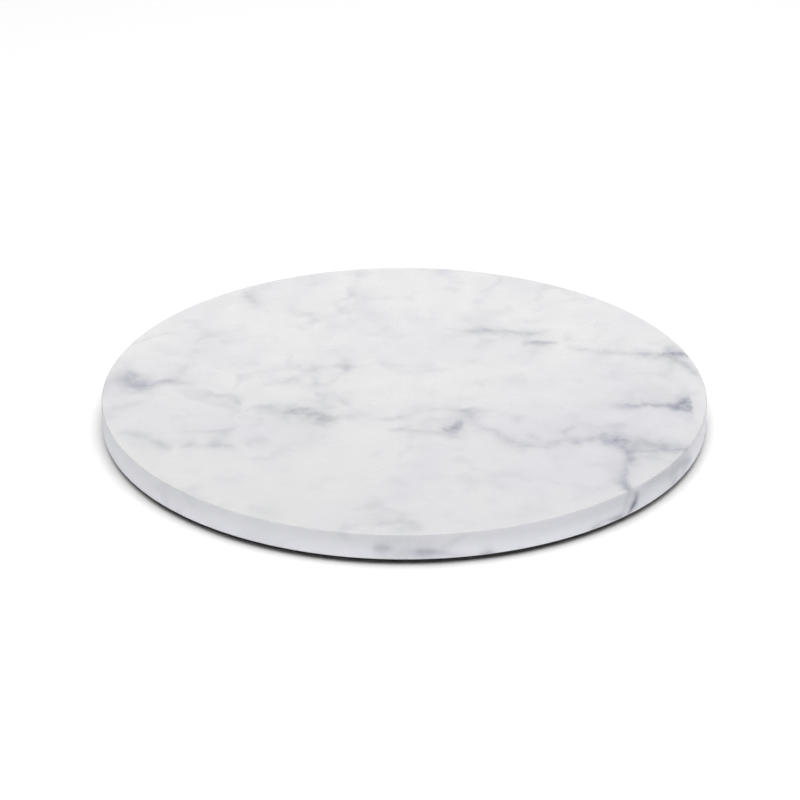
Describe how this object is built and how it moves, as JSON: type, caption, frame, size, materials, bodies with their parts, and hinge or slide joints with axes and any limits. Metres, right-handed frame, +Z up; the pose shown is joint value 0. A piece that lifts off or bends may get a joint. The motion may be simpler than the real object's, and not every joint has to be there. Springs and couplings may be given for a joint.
{
  "type": "lazy susan turntable",
  "caption": "Round white marble turntable slab that spins on a low ring bearing with rubber feet, recessed in its underside.",
  "frame": {"origin": "on the surface that the turntable stands on, at the axis that the slab turns about", "axes": "+Z up along the axis that the slab turns about; +X to the right and +Y away from a person who stands in front of it"},
  "size_m": [0.3, 0.3, 0.016],
  "materials": {
    "marble": "satin",
    "adhesive": "satin",
    "aluminium": "satin",
    "nylon": "satin",
    "ball_steel": "polished",
    "zinc_steel": "satin",
    "rubber": "matte"
  },
  "bodies": {
    "base": {"outer_ring": "aluminium", "loading_plug": "zinc_steel", "rubber_foot_1": "rubber", "rubber_foot_2": "rubber", "rubber_foot_3": "rubber", "rubber_foot_4": "rubber", "rubber_foot_5": "rubber", "rubber_foot_6": "rubber", "foot_screw_1": "zinc_steel", "foot_screw_2": "zinc_steel", "foot_screw_3": "zinc_steel", "foot_screw_4": "zinc_steel", "foot_screw_5": "zinc_steel", "foot_screw_6": "zinc_steel"},
    "ball_train": {"ball_cage": "nylon", "ball_01": "ball_steel", "ball_02": "ball_steel", "ball_03": "ball_steel", "ball_04": "ball_steel", "ball_05": "ball_steel", "ball_06": "ball_steel", "ball_07": "ball_steel", "ball_08": "ball_steel", "ball_09": "ball_steel", "ball_10": "ball_steel", "ball_11": "ball_steel", "ball_12": "ball_steel", "ball_13": "ball_steel", "ball_14": "ball_steel", "ball_15": "ball_steel", "ball_16": "ball_steel", "ball_17": "ball_steel", "ball_18": "ball_steel", "ball_19": "ball_steel", "ball_20": "ball_steel", "ball_21": "ball_steel", "ball_22": "ball_steel", "ball_23": "ball_steel", "ball_24": "ball_steel"},
    "turntable": {"marble_top": "marble", "bond_ring": "adhesive", "inner_ring": "aluminium"}
  },
  "joints": [
    {"name": "slab_spin", "type": "hinge", "parent": "base", "child": "turntable", "pos_m": [0, 0, 0.0055], "axis": [0, 0, 1], "continuous": true},
    {"name": "ball_train_spin", "type": "hinge", "parent": "base", "child": "ball_train", "pos_m": [0, 0, 0.0055], "axis": [0, 0, 1], "continuous": true}
  ],
  "couplings": [
    {"joint": "ball_train_spin", "follows": "slab_spin", "ratio": 0.49}
  ]
}
